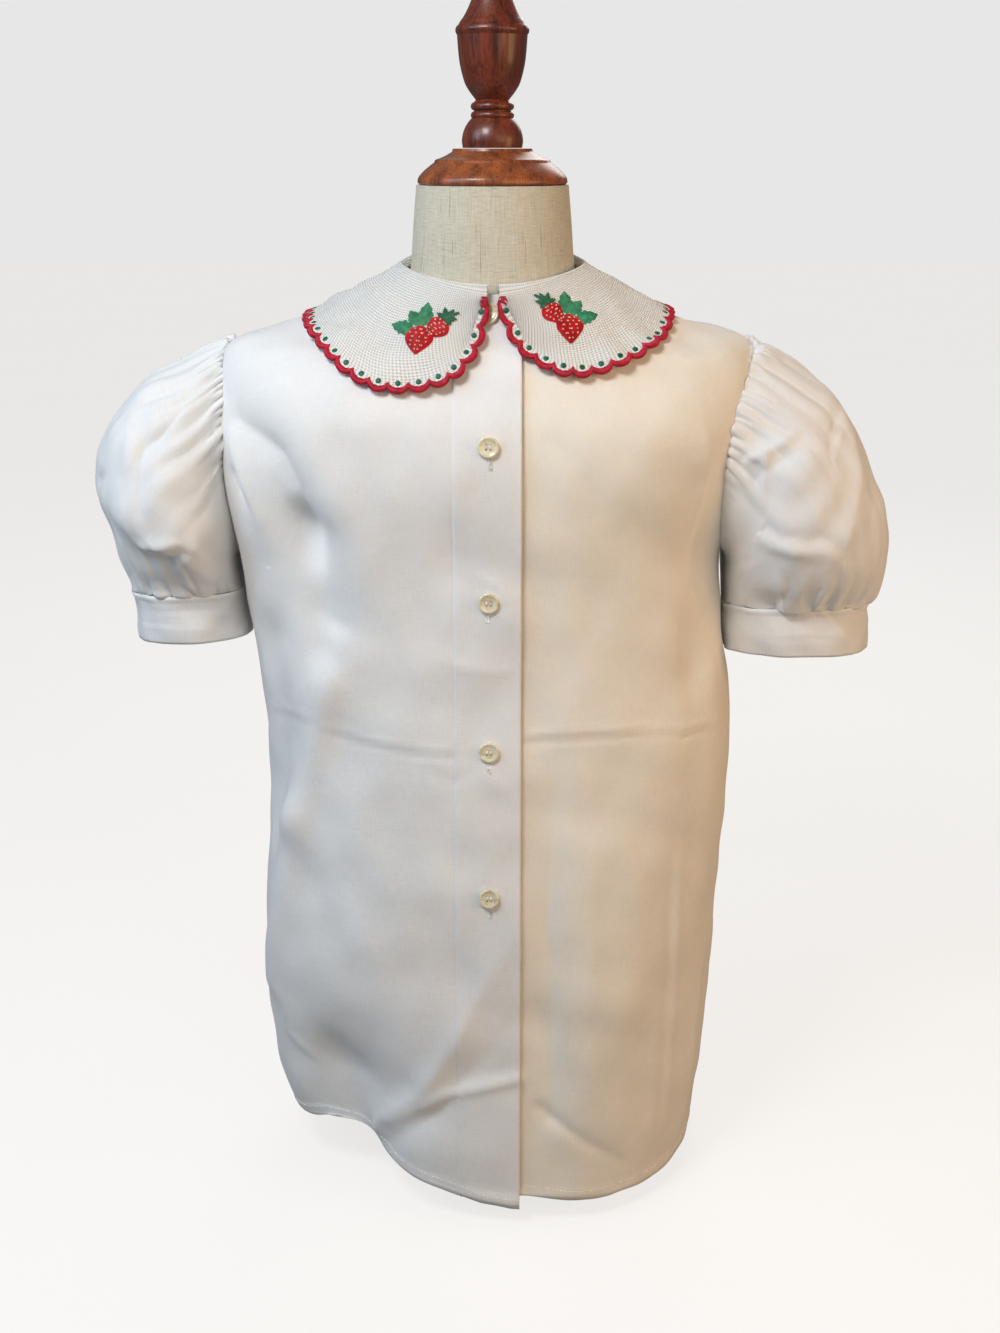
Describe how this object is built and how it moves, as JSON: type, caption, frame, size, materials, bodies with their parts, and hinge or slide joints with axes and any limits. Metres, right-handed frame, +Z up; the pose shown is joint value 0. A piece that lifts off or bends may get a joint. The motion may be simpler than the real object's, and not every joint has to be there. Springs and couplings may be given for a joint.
{
  "type": "peter pan collar blouse on a dress form",
  "caption": "Child's short puff sleeve blouse with a scalloped flat collar and buttoned front, on a limbless tabletop dress form with a turned finial.",
  "frame": {"origin": "under the form's axis, on the surface that its base board stands on", "axes": "+Z up through the neck and finial, +X to the wearer's left, and the buttoned front faces -Y"},
  "size_m": [0.4481, 0.2056, 0.7109],
  "materials": {
    "cotton": "fine plain-woven white cotton",
    "pique": "white bird's-eye pique with a red scalloped edge",
    "button": "pearly cream",
    "linen": "slubby natural linen",
    "wood": "varnished red-brown"
  },
  "bodies": {
    "root": {"front_right": "cotton", "front_left": "cotton", "back": "cotton", "sleeve_right": "cotton", "sleeve_left": "cotton", "cuff_right": "cotton", "cuff_left": "cotton", "collar": "pique", "button_1": "button", "button_2": "button", "button_3": "button", "button_4": "button", "button_5": "button", "form_torso": "linen", "neck_cap": "wood", "finial": "wood", "base_board": "wood"}
  },
  "joints": []
}
